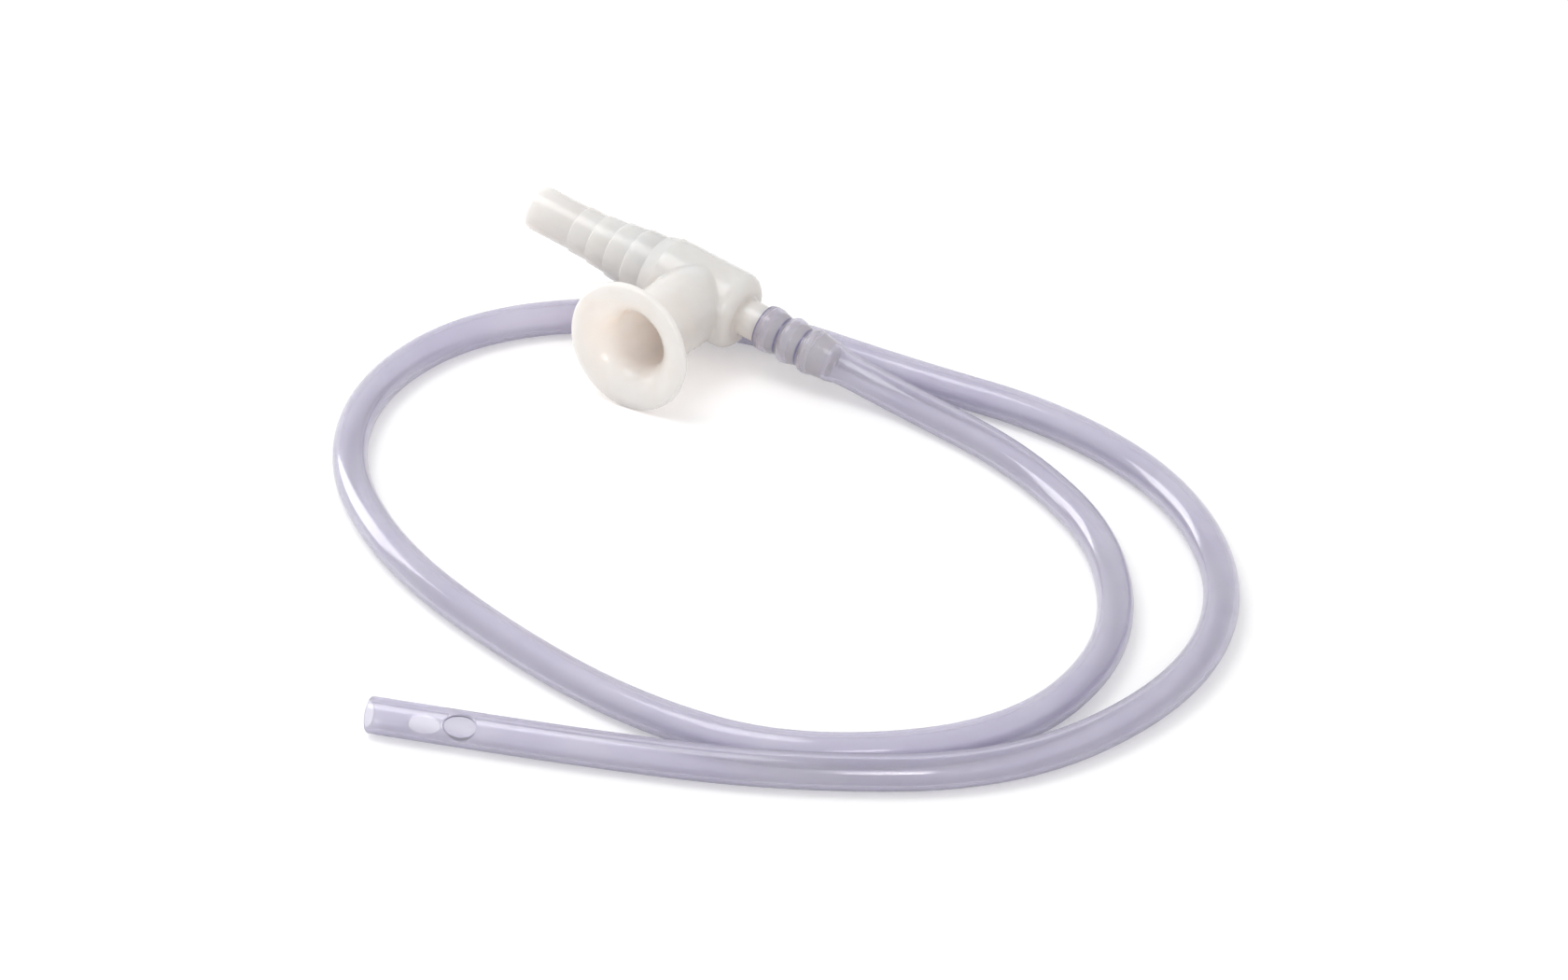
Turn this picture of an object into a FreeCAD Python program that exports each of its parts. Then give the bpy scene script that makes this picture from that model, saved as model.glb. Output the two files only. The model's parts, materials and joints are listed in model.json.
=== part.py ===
import FreeCAD, Part
import math
import os
import re
import Sketcher

# Suction catheter, 14 French, lying loosely coiled on a table.
# It is two pieces: a moulded thumb control connector and an extruded tube pushed over its barbs.
# The connector is drawn with its long axis along X, the thumb chimney along -Y and the point
# where the two axes meet at the origin. It is then tilted to the pose in which it comes to rest.
# NEAR is how close two places count as the same. ARC_SHARE is the part of a run that a bend takes.

os.makedirs("parts", exist_ok=True)

SIZES = {
    # suction end, from the meeting point of the axes back to the open end
    "suction_reach": 28.3,
    "suction_radius": 3.2,
    "suction_bore": 2.3,
    "suction_rounding": 0.6,
    "first_step": 20.9,
    "step_pitch": 3.2,
    "step_rise": 0.25,
    "step_rounding": 0.2,
    "tier_one_radius": 3.42,
    "tier_two_radius": 3.62,
    "tier_three_radius": 4.02,
    "tier_four_radius": 4.55,
    "tier_five_radius": 4.92,
    # barrel with its domed end
    "barrel_radius": 5.45,
    "barrel_lead": 0.25,
    "barrel_reach": 6.5,
    "barrel_rounding": 2.0,
    "wall": 1.15,
    "end_wall": 1.6,
    # thumb chimney and its flared cup
    "chimney_radius": 5.25,
    "chimney_reach": 18.7,
    "cup_radius": 9.16,
    "cup_lip": 1.1,
    "lip_rounding": 0.4,
    "cup_brim": 0.71,
    "junction_rounding": 0.7,
    # barbed nipple
    "neck_radius": 2.6,
    "neck_rounding": 0.5,
    "first_barb": 10.5,
    "barb_pitch": 3.45,
    "barb_radius": 2.8,
    "barb_root": 2.15,
    "nipple_reach": 21.2,
    "nipple_bore": 1.3,
    # tube
    "tube_radius": 2.335,
    "lumen_radius": 1.65,
    "mouth_reach": 9.8,
    "mouth_end": 22.6,
    "barb_lead": 0.8,
    "tip_rounding": 0.25,
    "eye_half_length": 2.1,
    "eye_half_width": 1.3,
    "near_eye": 6.6,
    "far_eye": 12.2,
    "eye_tilt": 40.0,
    # how the connector lies
    "junction_across": 3.6,
    "junction_back": 6.7,
    "pitch": 11.3,
    "roll": 1.05,
}

BARBS = 3
NEAR = 0.01
ARC_SHARE = 0.45
# The plain barrel starts just clear of the chimney's blend, so that the blend lies on one cylinder there.
BARREL_START = "0 - chimney_radius - junction_rounding - barrel_lead"
TIERS = ("tier_one_radius", "tier_two_radius", "tier_three_radius", "tier_four_radius", "tier_five_radius")

# Corners of the tube's route on the table, in order from the connector to the open tip.
FLOOR_ROUTE = [
    (57.5, 1.5), (78.5, -11), (93, -33), (93, -58), (73, -76), (50.5, -78), (24.5, -72.3), (1.5, -63),
    (-17, -48), (-26.5, -28), (-24.5, -7.5), (-9, 7.4), (9.5, 13.7), (31.5, 12.9), (56.5, 13.8), (80, 5.2),
    (98.5, -14), (104.5, -38), (97.4, -64), (75, -80.2), (48.5, -90.1), (24.3, -96.7),
]

doc = FreeCAD.newDocument("suction_catheter")
sheet = doc.addObject("Spreadsheet::Sheet", "sizes")
for row, (alias, number) in enumerate(SIZES.items(), start=1):
    sheet.set("A%d" % row, alias)
    sheet.set("B%d" % row, str(number))
    sheet.setAlias("B%d" % row, alias)
doc.recompute()


def size(formula):
    """Work a formula out from the sheet's cells, written by their aliases alone."""
    return float(sheet.evalExpression(formula))


def tied(formula):
    """Write the same formula as another object reads it, with the sheet named before each alias."""
    return re.sub("[a-z_]+", lambda word: "sizes." + word[0] if word[0] in SIZES else word[0], formula)


def draw_outline(sketch, corners):
    """Draw a closed outline whose corners are pairs of formulas, and tie each corner to them."""
    places = [FreeCAD.Vector(size(across), size(up), 0) for across, up in corners]
    count = len(places)
    for number, start in enumerate(places):
        sketch.addGeometry(Part.LineSegment(start, places[(number + 1) % count]))
    for number in range(count):
        sketch.addConstraint(Sketcher.Constraint("Coincident", number, 2, (number + 1) % count, 1))
    for number, formulas in enumerate(corners):
        for kind, axis, formula in zip(("DistanceX", "DistanceY"), (-2, -1), formulas):
            value = size(formula)
            if value == 0:
                sketch.addConstraint(Sketcher.Constraint("PointOnObject", number, 1, axis))
                continue
            ends = (-1, 1, number, 1) if value > 0 else (number, 1, -1, 1)
            signed = tied(formula) if value > 0 else "-(" + tied(formula) + ")"
            placed = sketch.addConstraint(Sketcher.Constraint(kind, *ends, abs(value)))
            sketch.setExpression("Constraints[%d]" % placed, signed)


def body_sketch(body, name, corners):
    """Add a sketch on the body's own XY plane."""
    plane = [item for item in body.Origin.OriginFeatures if item.Role == "XY_Plane"][0]
    sketch = body.newObject("Sketcher::SketchObject", name)
    sketch.AttachmentSupport = [(plane, "")]
    sketch.MapMode = "FlatFace"
    draw_outline(sketch, corners)
    return sketch


def turned(body, kind, name, corners, axis):
    """Revolve an outline about one of its sketch's axes, adding or cutting."""
    sketch = body_sketch(body, name + "_outline", corners)
    feature = body.newObject("PartDesign::" + kind, name)
    feature.Profile = sketch
    feature.ReferenceAxis = (sketch, [axis])
    feature.Angle = 360
    doc.recompute()
    return feature


def rounded(body, name, radius, chosen):
    """Round the edges of the body's last feature that the test picks."""
    base = body.Tip
    names = ["Edge%d" % number for number, edge in enumerate(base.Shape.Edges, start=1)
             if not edge.Degenerated and chosen(edge)]
    if not names:
        raise RuntimeError("No edge found for " + name)
    feature = body.newObject("PartDesign::Fillet", name)
    feature.Base = (base, names)
    feature.setExpression("Radius", tied(radius))
    doc.recompute()
    return feature


def ring_at(axis, station, radius):
    """A test for the circular edge of this radius, centred at this station of the X or Y axis."""
    def chosen(edge):
        if not isinstance(edge.Curve, Part.Circle):
            return False
        centre = edge.Curve.Center
        along = centre.x if axis == "X" else centre.y
        return abs(along - size(station)) < NEAR and abs(edge.Curve.Radius - size(radius)) < NEAR
    return chosen


def on_junction(edge):
    """A test for the seam where the chimney's outside meets the barrel's outside."""
    middle = edge.valueAt((edge.FirstParameter + edge.LastParameter) / 2)
    from_chimney = math.hypot(middle.x, middle.z) - size("chimney_radius")
    return abs(from_chimney) < NEAR and abs(middle.y) < size("barrel_radius") and middle.y < -NEAR \
        and math.hypot(middle.y, middle.z) > size("barrel_radius - wall / 2") \
        and not isinstance(edge.Curve, (Part.Circle, Part.Line))


def step_place(number):
    """Formula for the place along X of a step of the suction end."""
    return "0 - first_step + step_pitch * %d" % number


def barb_place(number):
    """Formula for the place along X of a barb's sharp shoulder."""
    return "first_barb + barb_pitch * %d" % number


def connector_outline():
    """Half outline of the stepped suction end, the barrel and the barbed nipple."""
    corners = [("0 - suction_reach", "0"), ("0 - suction_reach", "suction_radius")]
    before = "suction_radius"
    for number, tier in enumerate(TIERS):
        corners += [(step_place(number), before), (step_place(number), tier)]
        if number + 1 < len(TIERS):
            before = TIERS[number + 1] + " - step_rise"
    corners += [(BARREL_START, "barrel_radius"), ("barrel_reach", "barrel_radius"),
                ("barrel_reach", "neck_radius")]
    before = "neck_radius"
    for number in range(BARBS):
        corners += [(barb_place(number), before), (barb_place(number), "barb_radius")]
        before = "barb_root"
    corners += [(barb_place(BARBS), "barb_root"), ("nipple_reach", "barb_root"), ("nipple_reach", "0")]
    return corners


def make_connector():
    body = doc.addObject("PartDesign::Body", "thumb_control_connector")
    turned(body, "Revolution", "barrel", connector_outline(), "H_Axis")
    rounded(body, "barrel_dome", "barrel_rounding", ring_at("X", "barrel_reach", "barrel_radius"))
    turned(body, "Revolution", "chimney", [
        ("0", "0"), ("chimney_radius", "0"), ("chimney_radius", "cup_lip - chimney_reach"),
        ("cup_radius", "cup_lip - chimney_reach"), ("cup_radius", "0 - chimney_reach"),
        ("0", "0 - chimney_reach")], "V_Axis")
    rounded(body, "junction_blend", "junction_rounding", on_junction)
    rounded(body, "cup_flare", "cup_radius - chimney_radius - cup_brim",
            ring_at("Y", "cup_lip - chimney_reach", "chimney_radius"))
    rounded(body, "neck_blend", "neck_rounding", ring_at("X", "barrel_reach", "neck_radius"))
    turned(body, "Groove", "main_lumen", [
        ("0 - suction_reach", "0"), ("0 - suction_reach", "suction_bore"),
        ("step_pitch - first_step", "suction_bore"),
        (BARREL_START, "barrel_radius - wall"), ("barrel_reach - end_wall", "barrel_radius - wall"),
        ("barrel_reach - end_wall", "nipple_bore"), ("nipple_reach", "nipple_bore"),
        ("nipple_reach", "0")], "H_Axis")
    turned(body, "Groove", "thumb_bore", [
        ("0", "0"), ("chimney_radius - wall", "0"),
        ("chimney_radius - wall", "0 - chimney_reach"), ("0", "0 - chimney_reach")], "V_Axis")
    rounded(body, "cup_mouth", "cup_radius - chimney_radius + wall - cup_lip",
            ring_at("Y", "0 - chimney_reach", "chimney_radius - wall"))
    for name, station in (("lip_front", "0 - chimney_reach"), ("lip_back", "cup_lip - chimney_reach")):
        rounded(body, name, "lip_rounding", ring_at("Y", station, "cup_radius"))
    rounded(body, "suction_end_edge", "suction_rounding",
            ring_at("X", "0 - suction_reach", "suction_radius"))
    for number, tier in enumerate(TIERS):
        rounded(body, "step_lip_%d" % (number + 1), "step_rounding", ring_at("X", step_place(number), tier))
    return body


def mouth_outline():
    """Half outline of the tube's stretched mouth: out along the barbs, back along its own outside."""
    inside = [("mouth_reach", "neck_radius")]
    for number in range(BARBS):
        shoulder = barb_place(number)
        if number:
            fall = " + (barb_radius - barb_root) * barb_lead / barb_pitch"
            inside.append((shoulder + " - barb_lead", "barb_root" + fall))
        else:
            inside.append((shoulder + " - barb_lead / 2", "neck_radius"))
        inside.append((shoulder, "barb_radius"))
    inside += [(barb_place(BARBS), "barb_root"), ("nipple_reach", "barb_root"), ("mouth_end", "lumen_radius")]
    outside = [(along, "sqrt((%s) ^ 2 + tube_radius ^ 2 - lumen_radius ^ 2)" % radius)
               for along, radius in reversed(inside)]
    return inside + outside


def lay_down():
    """The pose of the connector at rest: the cup's lip stands on the table."""
    turn = FreeCAD.Rotation(FreeCAD.Vector(0, 1, 0), size("pitch")).multiply(
        FreeCAD.Rotation(FreeCAD.Vector(1, 0, 0), -size("roll")))
    chimney = turn.multVec(FreeCAD.Vector(0, -1, 0))
    lip_centre = size("chimney_reach - lip_rounding")
    lip_ring = size("cup_radius - lip_rounding")
    level = lip_ring * math.sqrt(1 - chimney.z ** 2) + size("lip_rounding") - lip_centre * chimney.z
    return FreeCAD.Placement(FreeCAD.Vector(size("junction_across"), size("junction_back"), level), turn)


def route_points(pose):
    """Corners of the tube's centre line: from its mouth along the nipple down to the table, then on it."""
    along = pose.Rotation.multVec(FreeCAD.Vector(1, 0, 0))
    mouth = pose.multVec(FreeCAD.Vector(size("mouth_end"), 0, 0))
    landing = mouth + along * ((mouth.z - size("tube_radius")) / -along.z)
    return [mouth, landing] + [FreeCAD.Vector(x, y, size("tube_radius")) for x, y in FLOOR_ROUTE]


def rounded_route(points):
    """Straight runs joined by tangent arcs, each as large as its two runs allow."""
    edges = []
    last = points[0]
    radii = []
    for before, corner, after in zip(points, points[1:], points[2:]):
        inward = (before - corner).normalize()
        onward = (after - corner).normalize()
        half_turn = (math.pi - inward.getAngle(onward)) / 2
        reach = ARC_SHARE * min(before.distanceToPoint(corner), corner.distanceToPoint(after))
        radius = reach / math.tan(half_turn)
        radii.append(radius)
        start, end = corner + inward * reach, corner + onward * reach
        centre_side = (inward + onward).normalize()
        middle = corner + centre_side * (radius / math.cos(half_turn) - radius)
        edges += [Part.LineSegment(last, start).toShape(), Part.Arc(start, middle, end).toShape()]
        last = end
    edges.append(Part.LineSegment(last, points[-1]).toShape())
    print("arc radii of the route, mm:", " ".join("%.0f" % radius for radius in radii))
    return Part.Wire(edges)


def swept(name, radius, route, start_pose):
    """A round bar of this radius along the route."""
    ring = doc.addObject("Part::Circle", name + "_ring")
    ring.setExpression("Radius", tied(radius))
    ring.Placement = start_pose
    bar = doc.addObject("Part::Sweep", name)
    bar.Sections = [ring]
    bar.Spine = (route, ["Edge%d" % number for number in range(1, len(route.Shape.Edges) + 1)])
    bar.Solid = True
    return bar


def eye_punch(name, distance, turn, tip, heading):
    """An oval punch through one wall of the tube, at a distance from its tip, turned about its axis."""
    side = FreeCAD.Vector(0, 0, 1).cross(heading).normalize()
    angle = math.radians(turn)
    outward = side * math.cos(angle) + FreeCAD.Vector(0, 0, 1) * math.sin(angle)
    oval = doc.addObject("Part::Ellipse", name + "_oval")
    oval.setExpression("MajorRadius", tied("eye_half_length"))
    oval.setExpression("MinorRadius", tied("eye_half_width"))
    centre = tip - heading * size(distance)
    oval.Placement = FreeCAD.Placement(
        centre, FreeCAD.Rotation(heading, outward.cross(heading), outward, "ZXY"))
    punch = doc.addObject("Part::Extrusion", name)
    punch.Base = oval
    punch.DirMode = "Custom"
    punch.Dir = outward
    punch.setExpression("LengthFwd", tied("tube_radius * 2"))
    punch.Solid = True
    return punch


def make_tube(pose):
    points = route_points(pose)
    route = doc.addObject("Part::Feature", "tube_route")
    route.Shape = rounded_route(points)
    mouth_sketch = doc.addObject("Sketcher::SketchObject", "mouth_outline")
    draw_outline(mouth_sketch, mouth_outline())
    mouth_sketch.Placement = pose
    mouth = doc.addObject("Part::Revolution", "stretched_mouth")
    mouth.Source = mouth_sketch
    mouth.Axis = pose.Rotation.multVec(FreeCAD.Vector(1, 0, 0))
    mouth.Base = pose.Base
    mouth.Angle = 360
    mouth.Solid = True
    start = FreeCAD.Placement(points[0], pose.Rotation.multiply(
        FreeCAD.Rotation(FreeCAD.Vector(0, 1, 0), 90)))
    outer = swept("tube_outside", "tube_radius", route, start)
    inner = swept("tube_lumen", "lumen_radius", route, start)
    heading = (points[-1] - points[-2]).normalize()
    eyes = [eye_punch("near_eye_punch", "near_eye", size("eye_tilt") + 180, points[-1], heading),
            eye_punch("far_eye_punch", "far_eye", size("eye_tilt"), points[-1], heading)]
    doc.recompute()
    run = doc.addObject("Part::Cut", "tube_run")
    run.Base, run.Tool = outer, inner
    whole = doc.addObject("Part::MultiFuse", "tube_and_mouth")
    whole.Shapes = [mouth, run]
    whole.Refine = True
    tools = doc.addObject("Part::MultiFuse", "eye_punches")
    tools.Shapes = eyes
    pierced = doc.addObject("Part::Cut", "pierced_tube")
    pierced.Base, pierced.Tool = whole, tools
    doc.recompute()
    tube = doc.addObject("Part::Fillet", "catheter_tube")
    tube.Base = pierced
    tube.Edges = [(number, size("tip_rounding"), size("tip_rounding"))
                  for number, edge in enumerate(pierced.Shape.Edges, start=1)
                  if edge.CenterOfMass.isEqual(points[-1], NEAR)
                  and abs(edge.Length - 2 * math.pi * size("tube_radius")) < NEAR]
    doc.recompute()
    section = math.pi * size("tube_radius ^ 2 - lumen_radius ^ 2")
    print("swept run: volume %.1f mm3, section times length %.1f mm3, length %.1f mm" % (
        run.Shape.Volume, section * route.Shape.Length, route.Shape.Length))
    print("tube from mouth to tip: %.1f mm" % (route.Shape.Length + size("mouth_end - mouth_reach")))
    return tube


connector = make_connector()
connector.Placement = lay_down()
catheter = make_tube(connector.Placement)
doc.recompute()

for item in doc.Objects:
    if "Invalid" in item.State or "Error" in item.State:
        raise RuntimeError("%s did not build: %s" % (item.Name, item.State))

for node, label in ((connector, "thumb_control_connector"), (catheter, "catheter_tube")):
    node.Label = label
    if node.Shape.isNull() or not node.Shape.isValid() or len(node.Shape.Solids) != 1:
        raise RuntimeError(label + " is not one valid solid")
    box = node.Shape.BoundBox
    print("%s: %.1f mm3, x %.2f to %.2f, y %.2f to %.2f, z %.2f to %.2f" % (
        label, node.Shape.Volume, box.XMin, box.XMax, box.YMin, box.YMax, box.ZMin, box.ZMax))
    node.Shape.exportStep("parts/%s.step" % label)
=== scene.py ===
"""A loosely coiled suction catheter: a clear vinyl tube pushed over the barbs of a white thumb control
connector."""

import json
import math

import bmesh
import bpy
from bpy.props import FloatProperty, FloatVectorProperty, IntProperty, PointerProperty
from mathutils import Matrix, Vector


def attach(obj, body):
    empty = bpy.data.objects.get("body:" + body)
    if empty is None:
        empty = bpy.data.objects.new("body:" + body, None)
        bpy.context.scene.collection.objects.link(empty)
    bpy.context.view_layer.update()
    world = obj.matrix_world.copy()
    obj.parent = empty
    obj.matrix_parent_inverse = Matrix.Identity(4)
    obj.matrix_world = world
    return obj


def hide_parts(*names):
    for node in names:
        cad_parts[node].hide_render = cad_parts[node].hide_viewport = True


bl_info = {
    "name": "Suction catheter",
    "version": (1, 0, 0),
    "blender": (4, 5, 0),
    "location": "3D View > Sidebar > Catheter",
    "description": "Dresses the suction catheter: its clear tube, its white connector, and a plain stage",
    "category": "Object",
}

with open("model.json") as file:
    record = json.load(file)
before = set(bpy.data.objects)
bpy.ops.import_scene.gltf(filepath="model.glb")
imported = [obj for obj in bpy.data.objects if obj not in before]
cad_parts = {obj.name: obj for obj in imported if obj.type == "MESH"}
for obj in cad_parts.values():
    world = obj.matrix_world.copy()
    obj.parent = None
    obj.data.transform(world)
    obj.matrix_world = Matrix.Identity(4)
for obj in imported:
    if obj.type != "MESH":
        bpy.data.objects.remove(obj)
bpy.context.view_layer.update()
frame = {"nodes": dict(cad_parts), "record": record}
MM = 0.001

# The connector's long axis, read from the mount on its suction end. The tube leaves along it. The
# junction is where the chimney's axis meets it, and MOUNT_TO_JUNCTION is in mm.
SUCTION_MOUNT = next(mount for mount in frame["record"]["mounts"] if mount["name"] == "suction_end")
AXIS = -Vector(SUCTION_MOUNT["axis"]).normalized()
MOUNT_TO_JUNCTION = 24.3
JUNCTION = Vector(SUCTION_MOUNT["pos_m"]) + AXIS * MOUNT_TO_JUNCTION * MM
# How the connector is rolled about that axis, as it rests on the lip of its cup.
CONNECTOR_ROLL = math.radians(1.05)

# Stations of the barbed nipple along that axis, in mm from the junction. The creases are where the
# stretched tube grips the nipple: at its mouth, and in the two valleys between the barbs; the tube gets
# painted shade there.
MOUTH = 9.8
MOUTH_END = 22.6
SHADED_CREASES = (9.8, 13.1, 16.55)
# The tube's bore over the nipple: stations and radii in mm.
BARB_PROFILE = (
    (9.8, 2.62), (10.15, 2.66), (10.6, 2.78), (11.2, 2.72), (12.1, 2.44), (12.9, 2.2), (13.15, 2.17),
    (13.4, 2.3), (13.8, 2.72), (14.15, 2.84), (14.6, 2.74), (15.6, 2.42), (16.35, 2.2), (16.6, 2.17),
    (16.85, 2.3), (17.25, 2.66), (17.6, 2.76), (18.1, 2.66), (19.2, 2.34), (20.3, 2.2), (21.2, 2.16),
    (21.7, 2.0), (22.6, 1.72), (23.6, 1.65),
)

# Corners of the tube's route on the table in mm, from the connector to the open tip.
FLOOR_ROUTE = [
    (57.5, 1.5), (78.5, -11), (93, -33), (93, -58), (73.04, -76.18), (50.6, -78.3), (24.5, -72.3),
    (1.5, -63), (-17, -48), (-26.5, -28), (-24.5, -7.5), (-9, 7.4), (9.5, 13.7), (31.5, 12.9),
    (56.5, 13.8), (80, 5.2), (98.5, -14), (104.5, -38), (97.2, -63.8), (74.52, -79.6), (48.1, -89.5),
    (24.3, -96.7),
]
# Points of the smooth line from one corner to the next.
CURVE_STEPS = 60

# Rows of faces along the tube, in mm: how far close rows reach from the mouth and from the tip, the step
# between rows at the mouth, along the plain tube and at the tip, and where the last row ends.
CLOSE_AT_MOUTH = 15
CLOSE_AT_TIP = 17.5
MOUTH_STEP, PLAIN_STEP, TIP_STEP = 0.2, 1.5, 0.3
LAST_ROW = 0.25
# Rounding of the wall's edge at the tip and at the mouth, and how far ahead and back a row looks for its
# heading, in mm.
TIP_ROUNDING = 0.22
MOUTH_ROUNDING = 0.12
LOOK_AHEAD = 0.8

# The two side eyes: distance of each from the open tip in mm, and its turn from level towards the top.
EYES = ((12.2, math.radians(40)), (6.6, math.radians(220)))
# An eye's rounded lip, from the outside to the bore: how far each row stands off the oval, and how far it
# lies under the outside or over the bore, in mm.
EYE_LIP = (
    (0.2, 0.0), (0.1, 0.025), (0.03, 0.09), (0.0, 0.2),
    (0.0, 0.15), (0.03, 0.06), (0.1, 0.01), (0.16, 0.0),
)
# The patch of wall round an eye: how many of the tube's sides it takes each way, how far it passes the oval
# along the tube in mm, and at which shares of the way from its border to the oval its own rows stand.
EYE_BLOCK = 13
EYE_MARGIN = 0.6
EYE_ROWS = (0.4, 0.75)

# Vertices of the CAD mesh nearer than this, in metres, are one.
JOIN_WITHIN = 1e-7

# Sizes of the patterns in the finishes, in mm. Real die lines and mould grain are about a tenth of a
# millimetre apart, too fine for the render, so both are drawn coarser. LINE_STRETCH is the share of the
# distance along the tube that counts in the die lines' pattern, so that they run along it.
DIE_LINES = 0.45
LINE_STRETCH = 0.02
VINYL_CLOUDS = 9
VINYL_DIMPLES = 1.6
MOULD_GRAIN = 0.3
MOULD_SINK = 4.5
# Half widths in mm at which a crease's painted shade and the parting line are full, and where they end.
CREASE_SHADE_FADE = (0.05, 0.28)
PARTING_FADE = (0.04, 0.14)
# Heights in mm of each finish's relief.
VINYL_RELIEF = 0.03
MOULD_RELIEF = 0.06
# Vinyl where it is least hazy, vinyl darkened by painted shade in a crease, and polyethylene where the wall
# sinks.
CLEARER_VINYL = "f2f0f7"
CREASE_SHADE_VINYL = "7a6fb2"
SUNK_POLYETHYLENE = "f5e3d9"

# The room's light on the object. The floor is a white table: its own colour, the share of its white that is
# its own where it is seen, its side in metres, and how far its top lies under the object, in mm.
WORLD_LIGHT = 0.66
FLOOR_COLOUR = 0.78
FLOOR_GLOW = 0.32
FLOOR_SIDE = 6.0
FLOOR_GAP = 0.02
# Soft lamps: where each stands from the point that it lights (to the right, away and up as the camera sees
# it), its side, both in metres, its power in watts and its colour. The cup's fill is a weak one, narrowed to
# the connector.
KEY_SOFTBOX = ((-0.3, 0.0, 0.85), 0.45, 2.5, (1, 1, 1))
LEFT_SOFTBOX = ((-0.68, 0.51, 0.27), 0.45, 3.2, (1, 1, 1))
CUP_FILL = ((0.05, -0.55, 0.22), 0.15, 0.036, (1, 0.96, 0.93))
FILL_SPREAD = math.radians(40)
# The camera's sensor in mm, and how near and how far it sees, in metres.
SENSOR_WIDTH = 36.0
NEAREST_SEEN, FARTHEST_SEEN = 0.01, 20.0


def mould_frame():
    """The connector's own directions as columns: along its barrel, away from the cup, and up off the parting
    plane."""
    level = Matrix.Rotation(-CONNECTOR_ROLL, 3, "X")
    lean = Matrix.Rotation(math.asin(-AXIS.z), 3, "Y")
    return lean @ level


def linear(hex_code):
    """An sRGB hex colour as linear light, with a full alpha."""
    parts = [int(hex_code[i:i + 2], 16) / 255 for i in (0, 2, 4)]
    return [c / 12.92 if c <= 0.04045 else ((c + 0.055) / 1.055) ** 2.4 for c in parts] + [1.0]


class CatheterTubeSettings(bpy.types.PropertyGroup):
    diameter: FloatProperty(name="Outer diameter", description="Outside of the tube, 14 French",
                            default=4.67 * MM, unit="LENGTH", precision=5)
    lumen: FloatProperty(name="Lumen", description="Bore of the tube", default=3.3 * MM, unit="LENGTH",
                         precision=5)
    length: FloatProperty(name="Length", description="Length from the stretched mouth to the open tip",
                          default=0.5515, unit="LENGTH", precision=4)
    sides: IntProperty(name="Sides", description="Faces around the tube", default=64, min=32)
    eye_length: FloatProperty(name="Eye length", description="Length of each oval side eye",
                              default=4.2 * MM, unit="LENGTH", precision=5)
    eye_width: FloatProperty(name="Eye width", description="Width of each oval side eye",
                             default=2.6 * MM, unit="LENGTH", precision=5)
    haze: FloatVectorProperty(name="Haze", description="Colour of the light that the vinyl scatters back",
                              subtype="COLOR", size=4, default=linear("f8f7fb"), min=0, max=1)
    tint: FloatVectorProperty(name="Tint", description="Colour of thick vinyl", subtype="COLOR", size=4,
                              default=linear("a99ed3"), min=0, max=1)
    depth: FloatProperty(name="Depth of tint", description="How fast the vinyl takes its tint, per metre",
                         default=370.0)


class CatheterConnectorSettings(bpy.types.PropertyGroup):
    colour: FloatVectorProperty(name="Polyethylene", description="Colour of the moulding", subtype="COLOR",
                                size=4, default=linear("fbece3"), min=0, max=1)
    scatter: FloatProperty(name="Scatter depth", description="How far light spreads inside the moulding",
                           default=6.0 * MM, unit="LENGTH", precision=5)


class CatheterStageSettings(bpy.types.PropertyGroup):
    azimuth: FloatProperty(name="Azimuth", description="Camera's angle round the part",
                           default=math.radians(33.7), subtype="ANGLE")
    elevation: FloatProperty(name="Elevation", description="Camera's angle above the table",
                             default=math.radians(29.6), subtype="ANGLE")
    distance: FloatProperty(name="Distance", description="Camera to the point it looks at", default=0.85,
                            unit="LENGTH")
    aim: FloatVectorProperty(name="Aim", description="Point on the table that the camera looks at", size=3,
                             default=(0.03336, -0.01881, 0.0), subtype="XYZ", unit="LENGTH")
    lens: FloatProperty(name="Lens", description="Focal length in mm on a 36 mm wide sensor", default=149.36)


def add_node(tree, kind, sockets=None, links=None, **settings):
    """Add a shader node, set its sockets and settings, and link outputs of other nodes to it."""
    node = tree.nodes.new(kind)
    for name, value in settings.items():
        setattr(node, name, value)
    for name, value in (sockets or {}).items():
        node.inputs[name].default_value = value
    for name, output in (links or {}).items():
        tree.links.new(output, node.inputs[name])
    return node


def new_material(name):
    material = bpy.data.materials.new(name)
    material.use_nodes = True
    material.node_tree.nodes.clear()
    return material, material.node_tree


def combine(tree, operation, first, second):
    """One Math node on two outputs or numbers."""
    node = add_node(tree, "ShaderNodeMath", operation=operation)
    for socket, value in zip(node.inputs, (first, second)):
        if isinstance(value, bpy.types.NodeSocket):
            tree.links.new(value, socket)
        else:
            socket.default_value = value
    return node.outputs[0]


def ranged(tree, value, low, high, to_low, to_high):
    """An output taken from one range to another."""
    node = add_node(tree, "ShaderNodeMapRange", {
        "From Min": low, "From Max": high, "To Min": to_low, "To Max": to_high}, {"Value": value})
    return node.outputs[0]


def noise(tree, vector, grain, detail):
    """Noise whose lumps are about this many metres across."""
    node = add_node(tree, "ShaderNodeTexNoise", {"Scale": 1 / grain, "Detail": detail}, {"Vector": vector})
    return node.outputs[0]


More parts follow.
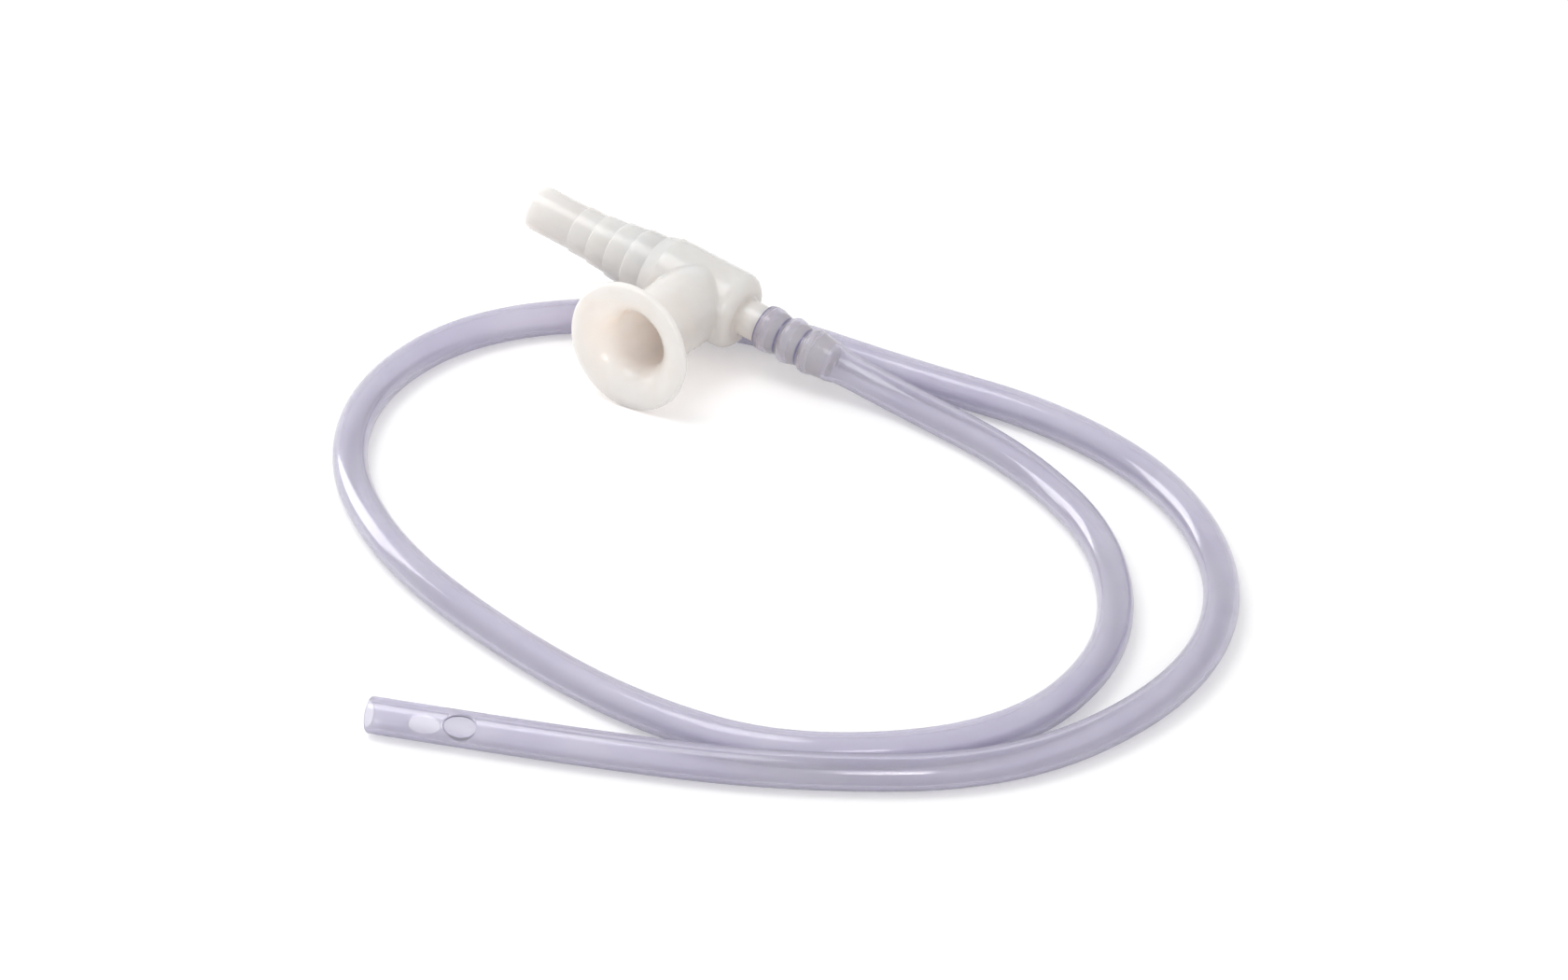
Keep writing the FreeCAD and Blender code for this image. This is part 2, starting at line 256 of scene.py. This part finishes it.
def clear_vinyl(settings):
    """Plasticised PVC, extruded: soft and clear with a little haze, a lavender tint that gathers where the
    wall is seen edge on, faint lines drawn along it by the die, and painted shade in rings where it grips the
    barbs."""
    material, tree = new_material("extruded_clear_vinyl")
    here = add_node(tree, "ShaderNodeTexCoord")
    along = add_node(tree, "ShaderNodeSeparateXYZ", links={"Vector": here.outputs["UV"]})
    turn = combine(tree, "MULTIPLY", along.outputs["X"], 2 * math.pi)
    radius = settings.diameter / 2
    around = add_node(tree, "ShaderNodeCombineXYZ", links={
        "X": combine(tree, "MULTIPLY", combine(tree, "COSINE", turn, 0.0), radius),
        "Y": combine(tree, "MULTIPLY", combine(tree, "SINE", turn, 0.0), radius),
        "Z": combine(tree, "MULTIPLY", along.outputs["Y"], LINE_STRETCH)}).outputs[0]
    die_lines = noise(tree, around, DIE_LINES * MM, 3.0)
    clouds = noise(tree, here.outputs["Object"], VINYL_CLOUDS * MM, 3.0)
    dimples = noise(tree, here.outputs["Object"], VINYL_DIMPLES * MM, 2.0)
    height = combine(tree, "ADD", combine(tree, "MULTIPLY", die_lines, 0.5), dimples)
    bump = add_node(tree, "ShaderNodeBump", {"Strength": 0.08, "Distance": VINYL_RELIEF * MM},
                    {"Height": height})
    cloudy = add_node(tree, "ShaderNodeMix", {"A": linear(CLEARER_VINYL), "B": settings.haze},
                      {"Factor": ranged(tree, clouds, 0.35, 0.65, 0.0, 1.0)}, data_type="RGBA")
    # Painted shade: rings of deep lavender in the vinyl's colour where the tube grips the nipple, darkest at
    # each crease.
    crease_shade = 0.0
    for station in reversed(SHADED_CREASES):
        off = combine(tree, "SUBTRACT", along.outputs["Y"], (station - MOUTH) * MM)
        fade = ranged(tree, combine(tree, "ABSOLUTE", off, 0.0),
                      *(reach * MM for reach in CREASE_SHADE_FADE), 0.9, 0.0)
        crease_shade = combine(tree, "MAXIMUM", fade, crease_shade)
    shade = add_node(tree, "ShaderNodeMix", {"B": linear(CREASE_SHADE_VINYL)},
                     {"A": cloudy.outputs["Result"], "Factor": crease_shade}, data_type="RGBA")
    surface = add_node(tree, "ShaderNodeBsdfPrincipled", {"IOR": 1.53, "Transmission Weight": 0.82}, {
        "Base Color": shade.outputs["Result"], "Roughness": ranged(tree, die_lines, 0.3, 0.7, 0.11, 0.16),
        "Normal": bump.outputs[0]})
    volume = add_node(tree, "ShaderNodeVolumeAbsorption",
                      {"Color": settings.tint, "Density": settings.depth})
    add_node(tree, "ShaderNodeOutputMaterial",
             links={"Surface": surface.outputs[0], "Volume": volume.outputs[0]})
    return material


def moulded_polyethylene(settings):
    """Natural white polyethylene, injection moulded: satin and slightly waxy. Light spreads a little way
    into it, the mould's skin leaves a fine grain, the walls sink a little, and the mould parts along both
    axes."""
    material, tree = new_material("moulded_white_polyethylene")
    here = add_node(tree, "ShaderNodeTexCoord").outputs["Object"]
    to_mould = mould_frame().transposed()
    own = add_node(tree, "ShaderNodeMapping", {
        "Location": -(to_mould @ JUNCTION), "Rotation": to_mould.to_euler("XYZ")}, {"Vector": here})
    off_parting = add_node(tree, "ShaderNodeSeparateXYZ", links={"Vector": own.outputs[0]}).outputs["Z"]
    parting = ranged(tree, combine(tree, "ABSOLUTE", off_parting, 0.0),
                     *(reach * MM for reach in PARTING_FADE), 1.0, 0.0)
    grain = noise(tree, here, MOULD_GRAIN * MM, 2.0)
    sink = noise(tree, here, MOULD_SINK * MM, 2.0)
    height = combine(tree, "ADD", combine(tree, "MULTIPLY", grain, 0.12), combine(
        tree, "ADD", combine(tree, "MULTIPLY", sink, 0.9), combine(tree, "MULTIPLY", parting, 0.16)))
    bump = add_node(tree, "ShaderNodeBump", {"Strength": 0.5, "Distance": MOULD_RELIEF * MM},
                    {"Height": height})
    shade = add_node(tree, "ShaderNodeMix", {"A": linear(SUNK_POLYETHYLENE), "B": settings.colour},
                     {"Factor": ranged(tree, sink, 0.35, 0.65, 0.2, 1.0)}, data_type="RGBA")
    surface = add_node(tree, "ShaderNodeBsdfPrincipled", {
        "IOR": 1.51, "Subsurface Weight": 0.95, "Subsurface Radius": (1.0, 0.87, 0.78),
        "Subsurface Scale": settings.scatter}, {
        "Base Color": shade.outputs["Result"], "Roughness": ranged(tree, grain, 0.3, 0.7, 0.19, 0.27),
        "Normal": bump.outputs[0]})
    add_node(tree, "ShaderNodeOutputMaterial", links={"Surface": surface.outputs[0]})
    return material


def deselect_all():
    for item in bpy.context.selected_objects:
        item.select_set(False)


def route_spline(settings):
    """The tube's centre line, a smooth spline from the stretched mouth down to the table and round to the
    tip."""
    level = settings.diameter / 2
    landing = JUNCTION + AXIS * ((JUNCTION.z - level) / -AXIS.z)
    corners = [JUNCTION + AXIS * MOUTH * MM, JUNCTION + AXIS * MOUTH_END * MM, landing]
    corners += [Vector((x * MM, y * MM, level)) for x, y in FLOOR_ROUTE]
    curve = bpy.data.curves.new("tube_route", "CURVE")
    curve.dimensions = "3D"
    curve.resolution_u = CURVE_STEPS
    spline = curve.splines.new("NURBS")
    spline.points.add(len(corners) - 1)
    for point, corner in zip(spline.points, corners):
        point.co = (*corner, 1.0)
    spline.order_u = 3
    spline.use_endpoint_u = True
    holder = bpy.data.objects.new("tube_route", curve)
    bpy.context.scene.collection.objects.link(holder)
    bpy.context.view_layer.update()
    mesh = bpy.data.meshes.new_from_object(holder)
    points = [vertex.co.copy() for vertex in mesh.vertices]
    bpy.data.objects.remove(holder)
    bpy.data.meshes.remove(mesh)
    bpy.data.curves.remove(curve)
    return points


class Route:
    """Places and directions along the centre line, by distance from the mouth in metres."""

    def __init__(self, points):
        self.points = points
        self.marks = [0.0]
        for before, after in zip(points, points[1:]):
            self.marks.append(self.marks[-1] + (after - before).length)
        self.length = self.marks[-1]

    def at(self, distance):
        distance = min(max(distance, 0.0), self.length)
        low, high = 0, len(self.marks) - 1
        while high - low > 1:
            middle = (low + high) // 2
            if self.marks[middle] <= distance:
                low = middle
            else:
                high = middle
        share = (distance - self.marks[low]) / (self.marks[high] - self.marks[low])
        return self.points[low].lerp(self.points[high], share)

    def cross(self, distance):
        """Centre, level side vector and upright vector of the section at this distance."""
        reach = LOOK_AHEAD * MM
        ahead = (self.at(distance + reach) - self.at(distance - reach)).normalized()
        side = Vector((0, 0, 1)).cross(ahead).normalized()
        return self.at(distance), side, ahead.cross(side)


def smooth_step(low, high, value):
    share = min(max((value - low) / (high - low), 0.0), 1.0)
    return share * share * (3 - 2 * share)


def inner_radius(station, settings):
    """Bore of the tube at a station from the junction, in mm: stretched over the barbs, then plain."""
    for (start, from_radius), (end, to_radius) in zip(BARB_PROFILE, BARB_PROFILE[1:]):
        if station < end:
            return from_radius + (to_radius - from_radius) * smooth_step(start, end, station)
    return settings.lumen / 2 / MM


def wall_section(route, settings):
    """Stations of the rows of the tube's wall in metres from the mouth, and its outside and bore as rows of
    station and radius in metres."""
    stations = []
    here = 0.0
    close_mouth, close_tip = CLOSE_AT_MOUTH * MM, route.length - CLOSE_AT_TIP * MM
    while here < route.length - LAST_ROW * MM:
        stations.append(here)
        step = MOUTH_STEP if here < close_mouth else PLAIN_STEP if here < close_tip else TIP_STEP
        here += step * MM
    wall_squared = (settings.diameter / 2 / MM) ** 2 - (settings.lumen / 2 / MM) ** 2
    outer, inner = [], []
    for place in stations:
        bore = inner_radius(MOUTH + place / MM, settings)
        outer.append((place, math.sqrt(bore ** 2 + wall_squared) * MM))
        inner.append((place, bore * MM))
    return stations, outer, inner


def rounded_edges(length, outer, inner):
    """Rows of station and radius round the wall's edge: at the tip from the outside in, and at the mouth
    from the bore out."""
    quarter = [math.radians(degrees) for degrees in (0, 30, 60, 90)]
    lip = TIP_ROUNDING * MM
    tip = [(length - lip + lip * math.sin(a), outer[-1][1] - lip + lip * math.cos(a))
           for a in (math.radians(degrees) for degrees in (0, 22, 45, 67, 90))]
    tip += [(length - lip / 2 + lip / 2 * math.cos(a), inner[-1][1] + lip / 2 - lip / 2 * math.sin(a))
            for a in quarter]
    edge = MOUTH_ROUNDING * MM
    mouth = [(edge - edge * math.sin(a), inner[0][1] + edge - edge * math.cos(a)) for a in quarter]
    mouth += [(edge - edge * math.cos(a), outer[0][1] - edge + edge * math.sin(a)) for a in quarter]
    return tip, mouth


def build_tube(route, settings):
    """The tube as one closed wall: outside, rounded tip, bore and mouth, with two oval eyes through one wall
    each."""
    sides = settings.sides
    stations, outer, inner = wall_section(route, settings)
    tip, mouth = rounded_edges(route.length, outer, inner)
    outline = outer[1:-1] + tip + list(reversed(inner[1:-1])) + mouth
    work = bmesh.new()
    uv_layer = work.loops.layers.uv.new("along")

    def spot(place, turn, radius):
        """A vertex with its turn round the tube from the underside and its distance from the mouth."""
        centre, side, up = route.cross(place)
        angle = turn - math.pi / 2
        return work.verts.new(centre + (side * math.cos(angle) + up * math.sin(angle)) * radius), turn, place

    def skin(loop, following, closed_turn, skip=()):
        """Faces between two loops of as many spots. The last face of a full ring ends at a full turn."""
        for k, corner in enumerate(loop):
            if k in skip:
                continue
            n = (k + 1) % len(loop)
            full = 2 * math.pi if closed_turn and n == 0 else 0.0
            corners = ((corner, 0.0), (loop[n], full), (following[n], full), (following[k], 0.0))
            face = work.faces.new([item[0] for item, extra in corners])
            face.smooth = True
            for face_corner, (item, extra) in zip(face.loops, corners):
                face_corner[uv_layer].uv = ((item[1] + extra) / (2 * math.pi), item[2])

    step = 2 * math.pi / sides
    rings = [[spot(place, k * step, radius) for k in range(sides)] for place, radius in outline]
    outer_ring = {row[0]: number for number, row in enumerate(outer[1:-1])}
    inner_ring = {row[0]: len(outline) - len(mouth) - 1 - number for number, row in enumerate(inner[1:-1])}
    skipped = {}
    for from_tip, turn_up in EYES:
        middle, turn = route.length - from_tip * MM, (turn_up + math.pi / 2) % (2 * math.pi)
        half_patch = settings.eye_length / 2 + EYE_MARGIN * MM
        block = [place for place in stations if abs(place - middle) < half_patch]
        first, last = round(turn / step) - EYE_BLOCK, round(turn / step) + EYE_BLOCK
        border = [(block[0], k) for k in range(first, last)]
        border += [(place, last) for place in block[:-1]]
        border += [(block[-1], k) for k in range(last, first, -1)]
        border += [(place, first) for place in block[:0:-1]]
        reach = (block[-1] - block[0]) / 2
        spread = EYE_BLOCK * step
        oval = [math.atan2((k * step - turn) / spread, (place - (block[0] + block[-1]) / 2) / reach)
                for place, k in border]
        loops = []
        # The patch runs from its border on the outside, down the eye's lip, to its border in the bore.
        for ring_of, radius, shares, lip_row in (
                (outer_ring, settings.diameter / 2, EYE_ROWS, EYE_LIP[0]),
                (inner_ring, settings.lumen / 2, EYE_ROWS[::-1], EYE_LIP[-1])):
            edge_loop = [(rings[ring_of[place]][k % sides][0], k * step, place) for place, k in border]
            for number in sorted(ring_of[place] for place in block)[:-1]:
                skipped.setdefault(number, set()).update(k % sides for k in range(first, last))
            target = [oval_spot(t, lip_row, radius, settings) for t in oval]
            between = [[spot(place + (middle + along - place) * share,
                             k * step + (turn + swing - k * step) * share, radius)
                        for (place, k), (along, swing) in zip(border, target)] for share in shares]
            if ring_of is inner_ring:
                loops += between + [edge_loop]
                continue
            loops += [edge_loop] + between
            for number, row in enumerate(EYE_LIP):
                at = eye_radius(number, settings)
                loops.append([spot(middle + along, turn + swing, at)
                              for along, swing in (oval_spot(t, row, at, settings) for t in oval)])
        for loop, following in zip(loops, loops[1:]):
            skin(loop, following, False)
    for number, ring in enumerate(rings):
        skin(ring, rings[(number + 1) % len(rings)], True, skipped.get(number, ()))
    bmesh.ops.recalc_face_normals(work, faces=work.faces)
    mesh = bpy.data.meshes.new("catheter_tube_soft")
    work.to_mesh(mesh)
    work.free()
    tube = bpy.data.objects.new("catheter_tube_soft", mesh)
    bpy.context.scene.collection.objects.link(tube)
    return tube


def eye_radius(number, settings):
    """Distance of a row of the eye's lip from the tube's axis: under the outside, or over the bore."""
    depth = EYE_LIP[number][1] * MM
    return settings.diameter / 2 - depth if number < len(EYE_LIP) // 2 else settings.lumen / 2 + depth


def oval_spot(angle, lip_row, radius, settings):
    """Where a straight oval punch, grown by the lip's row, meets this radius: along and round the tube."""
    proud = lip_row[0] * MM
    across = (settings.eye_width / 2 + proud) * math.sin(angle)
    return (settings.eye_length / 2 + proud) * math.cos(angle), math.asin(across / radius)


class CATHETER_OT_tube(bpy.types.Operator):
    """Lay the clear tube along its route, stretched over the barbs, with its lumen and its two side eyes"""
    bl_idname = "catheter.tube"
    bl_label = "Clear tube"

    def execute(self, context):
        settings = context.scene.catheter_tube
        route = Route(route_spline(settings))
        tube = build_tube(route, settings)
        tube.data.materials.append(clear_vinyl(settings))
        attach(tube, "root")
        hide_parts("catheter_tube")
        return {"FINISHED"}


def joined_copy(source, name):
    """A copy of a CAD node whose loose triangles are joined, with the CAD's own normals kept at each
    corner."""
    mesh = source.data
    work = bmesh.new()
    work.from_mesh(mesh)
    same = bmesh.ops.find_doubles(work, verts=work.verts, dist=JOIN_WITHIN)["targetmap"]
    keeper = [same.get(vertex, vertex).index for vertex in work.verts]
    work.free()
    triangles = [[(keeper[mesh.loops[loop].vertex_index], mesh.corner_normals[loop].vector.copy())
                  for loop in polygon.loop_indices] for polygon in mesh.polygons]
    triangles = [corners for corners in triangles if len({vertex for vertex, normal in corners}) == 3]
    used = sorted({vertex for corners in triangles for vertex, normal in corners})
    order = {old: new for new, old in enumerate(used)}
    joined = bpy.data.meshes.new(name)
    joined.from_pydata([mesh.vertices[old].co for old in used], [],
                       [[order[vertex] for vertex, normal in corners] for corners in triangles])
    joined.polygons.foreach_set("use_smooth", [True] * len(joined.polygons))
    joined.normals_split_custom_set([normal for corners in triangles for vertex, normal in corners])
    piece = bpy.data.objects.new(name, joined)
    bpy.context.scene.collection.objects.link(piece)
    return piece


class CATHETER_OT_connector(bpy.types.Operator):
    """Finish the moulded thumb control connector"""
    bl_idname = "catheter.connector"
    bl_label = "Thumb control connector"

    def execute(self, context):
        connector = joined_copy(frame["nodes"]["thumb_control_connector"], "thumb_control_moulding")
        connector.data.materials.append(moulded_polyethylene(context.scene.catheter_connector))
        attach(connector, "root")
        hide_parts("thumb_control_connector")
        return {"FINISHED"}


def area_lamp(name, lit, place, side, power, colour):
    """A square soft lamp that faces the point it lights."""
    lamp = bpy.data.lights.new(name, "AREA")
    lamp.size = side
    lamp.energy = power
    lamp.color = colour
    holder = bpy.data.objects.new(name, lamp)
    bpy.context.scene.collection.objects.link(holder)
    holder.location = place
    holder.rotation_euler = (lit - place).to_track_quat("-Z", "Y").to_euler()
    return lamp


def seen_rays(tree):
    """One for camera, glossy and transmission rays, and none for the light that falls on the object."""
    path = add_node(tree, "ShaderNodeLightPath")
    mirror = combine(tree, "MAXIMUM", path.outputs["Is Camera Ray"], path.outputs["Is Glossy Ray"])
    return combine(tree, "MAXIMUM", mirror, path.outputs["Is Transmission Ray"])


class CATHETER_OT_stage(bpy.types.Operator):
    """Set the white table, the soft lamps and the camera"""
    bl_idname = "catheter.stage"
    bl_label = "Stage"

    def execute(self, context):
        scene = context.scene
        settings = scene.catheter_stage
        deselect_all()
        bpy.ops.mesh.primitive_plane_add(size=FLOOR_SIDE, location=(0, 0, -FLOOR_GAP * MM))
        floor = context.object
        floor.name = "table"
        material, tree = new_material("white_table")
        diffuse = add_node(tree, "ShaderNodeBsdfDiffuse", {"Color": (FLOOR_COLOUR,) * 3 + (1,)})
        glow = add_node(tree, "ShaderNodeEmission", {"Color": (1, 1, 1, 1)},
                        {"Strength": combine(tree, "MULTIPLY", seen_rays(tree), FLOOR_GLOW)})
        both = add_node(tree, "ShaderNodeAddShader")
        tree.links.new(diffuse.outputs[0], both.inputs[0])
        tree.links.new(glow.outputs[0], both.inputs[1])
        add_node(tree, "ShaderNodeOutputMaterial", links={"Surface": both.outputs[0]})
        floor.data.materials.append(material)

        world = bpy.data.worlds.new("white_room")
        scene.world = world
        world.use_nodes = True
        tree = world.node_tree
        tree.nodes.clear()
        background = add_node(tree, "ShaderNodeBackground", {"Color": (1, 1, 1, 1)},
                              {"Strength": ranged(tree, seen_rays(tree), 0.0, 1.0, WORLD_LIGHT, 1.0)})
        add_node(tree, "ShaderNodeOutputWorld", links={"Surface": background.outputs[0]})

        aim = Vector(settings.aim)
        right = Vector((math.cos(settings.azimuth), math.sin(settings.azimuth), 0))
        away = Vector((-math.sin(settings.azimuth), math.cos(settings.azimuth), 0))
        up = Vector((0, 0, 1))

        def lamp_for(name, lit, offset, *finish):
            return area_lamp(name, lit, lit + right * offset[0] + away * offset[1] + up * offset[2], *finish)

        lamp_for("key_softbox", aim, *KEY_SOFTBOX)
        lamp_for("left_softbox", aim, *LEFT_SOFTBOX)
        lamp_for("cup_fill", JUNCTION, *CUP_FILL).spread = FILL_SPREAD

        lens = bpy.data.cameras.new("camera")
        lens.lens = settings.lens
        lens.sensor_width = SENSOR_WIDTH
        lens.clip_start, lens.clip_end = NEAREST_SEEN, FARTHEST_SEEN
        camera = bpy.data.objects.new("camera", lens)
        scene.collection.objects.link(camera)
        back = -away * math.cos(settings.elevation) + up * math.sin(settings.elevation)
        camera.location = aim + back * settings.distance
        camera.rotation_euler = (-back).to_track_quat("-Z", "Y").to_euler()
        scene.camera = camera
        scene.view_settings.view_transform = "Standard"
        return {"FINISHED"}


class CATHETER_PT_panel(bpy.types.Panel):
    """Buttons for each piece of the catheter and the stage"""
    bl_label = "Suction catheter"
    bl_idname = "CATHETER_PT_panel"
    bl_space_type = "VIEW_3D"
    bl_region_type = "UI"
    bl_category = "Catheter"

    def draw(self, context):
        for group, operator in (("catheter_tube", "catheter.tube"),
                                ("catheter_connector", "catheter.connector"),
                                ("catheter_stage", "catheter.stage")):
            box = self.layout.box()
            settings = getattr(context.scene, group)
            for name in settings.__annotations__:
                box.prop(settings, name)
            box.operator(operator)


SETTINGS = {"catheter_tube": CatheterTubeSettings, "catheter_connector": CatheterConnectorSettings,
            "catheter_stage": CatheterStageSettings}
CLASSES = (*SETTINGS.values(), CATHETER_OT_tube, CATHETER_OT_connector, CATHETER_OT_stage,
           CATHETER_PT_panel)


def register():
    for item in CLASSES:
        bpy.utils.register_class(item)
    for name, item in SETTINGS.items():
        setattr(bpy.types.Scene, name, PointerProperty(type=item))


def unregister():
    for name in SETTINGS:
        delattr(bpy.types.Scene, name)
    for item in reversed(CLASSES):
        bpy.utils.unregister_class(item)


def main():
    register()
    bpy.ops.catheter.stage()
    bpy.ops.catheter.tube()
    bpy.ops.catheter.connector()


if __name__ == "__main__":
    main()
